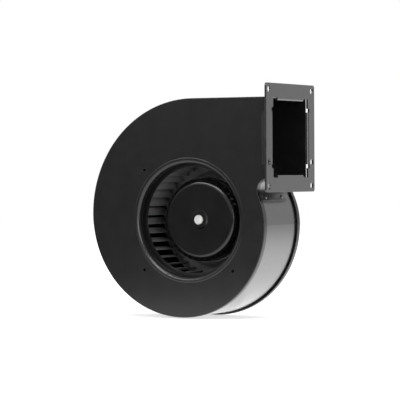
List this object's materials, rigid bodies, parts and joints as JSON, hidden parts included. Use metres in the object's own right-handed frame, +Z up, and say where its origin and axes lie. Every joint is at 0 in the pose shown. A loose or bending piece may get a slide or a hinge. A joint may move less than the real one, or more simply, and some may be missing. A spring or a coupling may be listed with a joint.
{
  "type": "dc blower fan",
  "caption": "Black sheet steel scroll blower with a square outlet flange, a round inlet mouth and a forward curved blade wheel around an external rotor motor.",
  "frame": {"origin": "on the fan axis, in the plane of the front plate's outer face, at the centre of the inlet mouth", "axes": "+X out of the outlet along the duct, +Y from the inlet to the back along the fan axis, +Z up"},
  "size_m": [0.2189, 0.113, 0.2461],
  "materials": {
    "housing_paint": "semi-gloss black powder coat",
    "wheel_paint": "satin black coat on sheet steel",
    "rotor_paint": "semi-gloss black coat on drawn steel",
    "bright_steel": "ground steel",
    "dark_steel": "black oxide",
    "zinc_steel": "zinc plated",
    "lamination": "stacked sheet edges",
    "ferrite": "sintered ferrite",
    "winding": "enamelled copper wire",
    "insulator": "moulded nylon",
    "board": "solder mask",
    "component": "moulded cases",
    "cast_flange": "die-cast, black coat",
    "cap": "moulded plastic",
    "grommet": "moulded rubber"
  },
  "bodies": {
    "housing": {"front_plate": "housing_paint", "scroll_wall": "housing_paint", "tongue_plate": "housing_paint", "tongue_rivets": "housing_paint", "back_plate": "housing_paint", "outlet_flange": "housing_paint", "front_bearing_outer_race": "bright_steel", "rear_bearing_outer_race": "bright_steel", "bearing_tube": "zinc_steel", "preload_washer": "bright_steel", "bearing_cap": "cap", "stator_core": "lamination", "insulator_front": "insulator", "insulator_rear": "insulator", "stator_coils": "winding", "circuit_board": "board", "board_components": "component", "motor_flange": "cast_flange", "motor_screws": "zinc_steel", "cable_gland": "grommet"},
    "rotor": {"impeller_blades": "wheel_paint", "impeller_front_ring": "wheel_paint", "impeller_hub_disc": "wheel_paint", "rotor_cup": "rotor_paint", "rotor_hub": "rotor_paint", "rotor_magnets": "ferrite", "shaft": "bright_steel", "retaining_ring": "dark_steel", "front_bearing_inner_race": "bright_steel", "rear_bearing_inner_race": "bright_steel"},
    "front_cage": {"front_bearing_balls": "bright_steel", "front_bearing_cage": "bright_steel"},
    "rear_cage": {"rear_bearing_balls": "bright_steel", "rear_bearing_cage": "bright_steel"}
  },
  "joints": [
    {"name": "rotor_spin", "type": "hinge", "parent": "housing", "child": "rotor", "pos_m": [0, 0.045, 0], "axis": [0, 1, 0], "continuous": true},
    {"name": "front_cage_spin", "type": "hinge", "parent": "housing", "child": "front_cage", "pos_m": [0, 0.0335, 0], "axis": [0, 1, 0], "continuous": true},
    {"name": "rear_cage_spin", "type": "hinge", "parent": "housing", "child": "rear_cage", "pos_m": [0, 0.0695, 0], "axis": [0, 1, 0], "continuous": true}
  ],
  "couplings": [
    {"joint": "front_cage_spin", "follows": "rotor_spin", "ratio": 0.36667},
    {"joint": "rear_cage_spin", "follows": "rotor_spin", "ratio": 0.36667}
  ]
}
